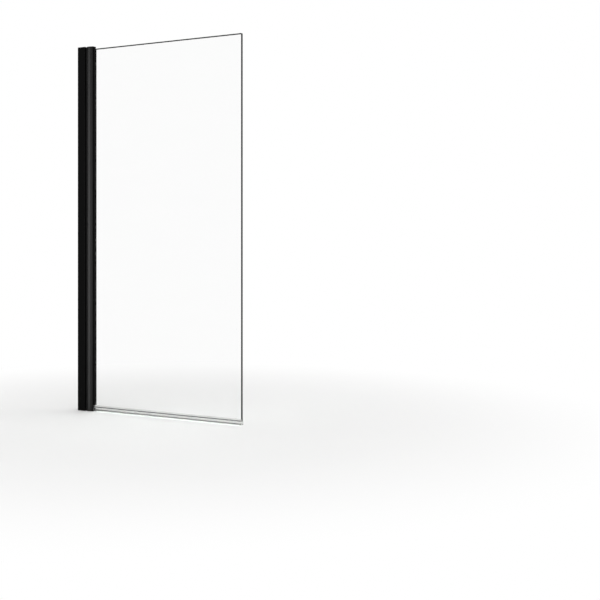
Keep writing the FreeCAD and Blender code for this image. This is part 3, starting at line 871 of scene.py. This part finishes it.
def glazing_gasket(name, node, side):
    """Gasket on the front of the glass, side -1, or on its back, side 1."""
    low, high = np.array(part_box(node))
    glass_y, bead_y = np.sort(np.abs((low[1], high[1])))

    def place(a, b, s):
        """The outline thins towards its outer end by the waver at height s."""
        outside = np.clip((a - lip_x) / (high[0] - lip_x), 0.0, 1.0)
        thinner = BEAD_WAVER * waver(s) * outside
        return a, side * (glass_y + b - thinner * b / (bead_y - glass_y)), s

    outline = gasket_outline(low[0], high[0], bead_y - glass_y)
    stations = np.linspace(low[2], high[2], GASKET_STATIONS)
    stands_for(extruded(name, [outline], stations, place, rubber), node)


glazing_gasket("front_glazing_gasket", "front_gasket", -1)
glazing_gasket("rear_glazing_gasket", "rear_gasket", 1)

# %% [markdown]
# ## The bottom seal
# A clear seal clips on the lower edge of the glass. Two legs grip the glass, a soft tube closes the
# gap below it, and a fin at the back throws the drips back. It could be put together from strips,
# but the faces where they meet would show inside the clear plastic. So its section has two loops,
# the outside and the hollow of the tube, and one closed surface makes the whole seal.

# %% Section of the seal
LEG = 1.2 * MM
BASE = 1.6 * MM                     # between the glass and the hollow
TUBE_SHARE = 0.942                  # of the width over the legs
TUBE_SKIN = 0.9 * MM
TUBE_EASE = 4.0 * MM                # radius of the tube's lower corners
STEP = 0.6 * MM                     # height of the slope from a leg to the tube
STEP_EASE = 0.5 * MM                # radius of that slope's corners
FIN = 1.0 * MM                      # rise and width of the slanted tip
FIN_FOOT = 2.5 * MM                 # height of the tip above the seal's foot
LEG_EASE = 0.38 * MM                # radius at the legs' ends
FIN_EASE = 0.40 * MM                # radius at the fin's tip
ROOT_EASE = 0.30 * MM               # radius of the inner corners


def seal_loops():
    """Section of the seal, a across the glass and b up: outside all round, then the tube's hollow.

    The hollow runs the other way round, so that its faces look into it. The fin leaves the tube
    where the line from the leg's foot to the fin's tip meets the tube's skin.
    """
    outer, foot, tip, top = -seal_low[1], seal_low[2], seal_high[1], seal_high[2]
    inner = outer - LEG
    base_top = pane_low[2] - (inner - pane_high[1])
    base = base_top - BASE
    tube = TUBE_SHARE * outer
    bore = tube - TUBE_SKIN
    fin_share = (tube - inner) / (tip - FIN - inner)
    root = base - fin_share * (base - foot - FIN_FOOT)
    outside = [
        (-outer, top, LEG_EASE),
        (-outer, base + STEP, STEP_EASE),
        (-tube, base, STEP_EASE),
        (-tube, foot, TUBE_EASE),
        (tube, foot, TUBE_EASE),
        (tube, root, ROOT_EASE),
        (tip - FIN, foot + FIN_FOOT, FIN_EASE),
        (tip, foot + FIN_FOOT + FIN, FIN_EASE),
        (outer, base_top, ROOT_EASE),
        (outer, top, LEG_EASE),
        (inner, top, LEG_EASE),
        (inner, base_top, ROOT_EASE),
        (-inner, base_top, ROOT_EASE),
        (-inner, top, LEG_EASE),
    ]
    hollow = [
        (bore, base, ROOT_EASE),
        (bore, foot + TUBE_SKIN, TUBE_EASE - TUBE_SKIN),
        (-bore, foot + TUBE_SKIN, TUBE_EASE - TUBE_SKIN),
        (-bore, base, ROOT_EASE),
    ]
    return [rounded(outside), rounded(hollow)]


# %% Seal along the glass
FIN_WAVER = 0.35 * MM               # most that the tip lifts
SEAL_STATIONS = 60


def seal_place(a, b, s):
    """Beyond the grip the fin lifts by the waver at s, times the square of its way to the tip."""
    out = np.clip((a + seal_low[1]) / (seal_high[1] + seal_low[1]), 0.0, 1.0)
    return s, a, b + FIN_WAVER * waver(s) * out * out


seal_stations = np.linspace(seal_low[0], seal_high[0], SEAL_STATIONS)
seal = extruded("clear_bottom_seal", seal_loops(), seal_stations, seal_place, clear_plastic)
stands_for(seal, "bottom_seal")
flag_off(seal)

# %% [markdown]
# ## The support pad
# The glass stands on a small slab of firm rubber inside the post. The weight of the pane makes its
# sides belly out, most at half height. A cloth simulation could squeeze it, but a parabola of the
# height gives the same sides at once.

# %% Support pad
PAD_EASE = 0.9 * MM
PAD_BELLY = 0.45 * MM
PAD_STATIONS = 13
PAD_CORNERS = ((-1, -1), (1, -1), (1, 1), (-1, 1))
pad_low, pad_high = np.array(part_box("glass_support_pad"))
pad_middle, pad_half = (pad_low + pad_high) / 2, (pad_high - pad_low) / 2


def pad_place(a, b, s):
    """The outline is drawn in by the square of the way from half height to top or bottom."""
    drawn_in = PAD_BELLY * ((s - pad_middle[2]) / pad_half[2]) ** 2
    x = pad_middle[0] + a * (1 - drawn_in / pad_half[0])
    y = pad_middle[1] + b * (1 - drawn_in / pad_half[1])
    return x, y, s


pad_outline = rounded([(x * pad_half[0], y * pad_half[1], PAD_EASE) for x, y in PAD_CORNERS])
pad_stations = np.linspace(pad_low[2], pad_high[2], PAD_STATIONS)
pad = extruded("glass_rest_pad", [pad_outline], pad_stations, pad_place, rubber)
stands_for(pad, "glass_support_pad")

# %% [markdown]
# ## The pane
# The edges of a pane are ground flat, given a narrow bevel on both faces and polished. The polish
# rounds each corner of the bevel a little, and those roundings catch the light. A Bevel modifier
# on a box would cut the bevel but leave its corners sharp, so the pane is a rounded rectangle whose
# outline is drawn in, from face to face, by the shape of that edge.

# %% Edge of the pane
PANE_BEVEL = 0.8 * MM
POLISH = 0.35 * MM                  # radius of the bevel's corners
POLISH_STEPS = 3
INSIDE = 5.0 * MM                   # any depth past the bevel, to close the edge's outline


def pane_edge(half):
    """Edge of the pane from face to face: (how far drawn in, y) for each step."""
    closing = [(INSIDE, -half, 0.0), (INSIDE, half, 0.0)]
    section = rounded([
        *closing,
        (PANE_BEVEL, half, POLISH),
        (0.0, half - PANE_BEVEL, POLISH),
        (0.0, PANE_BEVEL - half, POLISH),
        (PANE_BEVEL, -half, POLISH),
    ], steps=POLISH_STEPS)
    return section[len(closing):]


# %% Glass pane
PANE_CORNER = 3.0 * MM              # radius
CORNER_STEPS = 10
RIGHT_OR_LEFT = (1, -1, -1, 1)      # of the four corners, from the upper right one round
UP_OR_DOWN = (1, 1, -1, -1)


def clear_pane():
    """Outline point at angle t, moved in along t's direction by what the edge draws in at a step."""
    middle, half = (pane_low + pane_high) / 2, (pane_high - pane_low) / 2
    quarter = np.linspace(0.0, math.pi / 2, CORNER_STEPS)
    angle = (quarter + np.arange(len(UP_OR_DOWN))[:, None] * math.pi / 2).ravel()
    corner_x = middle[0] + (half[0] - PANE_CORNER) * np.repeat(RIGHT_OR_LEFT, CORNER_STEPS)
    corner_z = middle[2] + (half[2] - PANE_CORNER) * np.repeat(UP_OR_DOWN, CORNER_STEPS)
    outline = np.stack((
        corner_x + PANE_CORNER * np.cos(angle),
        corner_z + PANE_CORNER * np.sin(angle),
    ), axis=1)
    draw, y = pane_edge(half[1]).T[:, :, None]

    def place(a, b, s):
        return a - draw * np.cos(angle), middle[1] + y, b - draw * np.sin(angle)

    return extruded("clear_pane", [outline], np.arange(len(y)), place, glass)


pane = clear_pane()
stands_for(pane, "glass_pane")
flag_off(pane)

# %% [markdown]
# ## The size of the dressed object
# The dressed object has to stay in the box of the frame; a picture wouldn't show a millimetre too
# much.
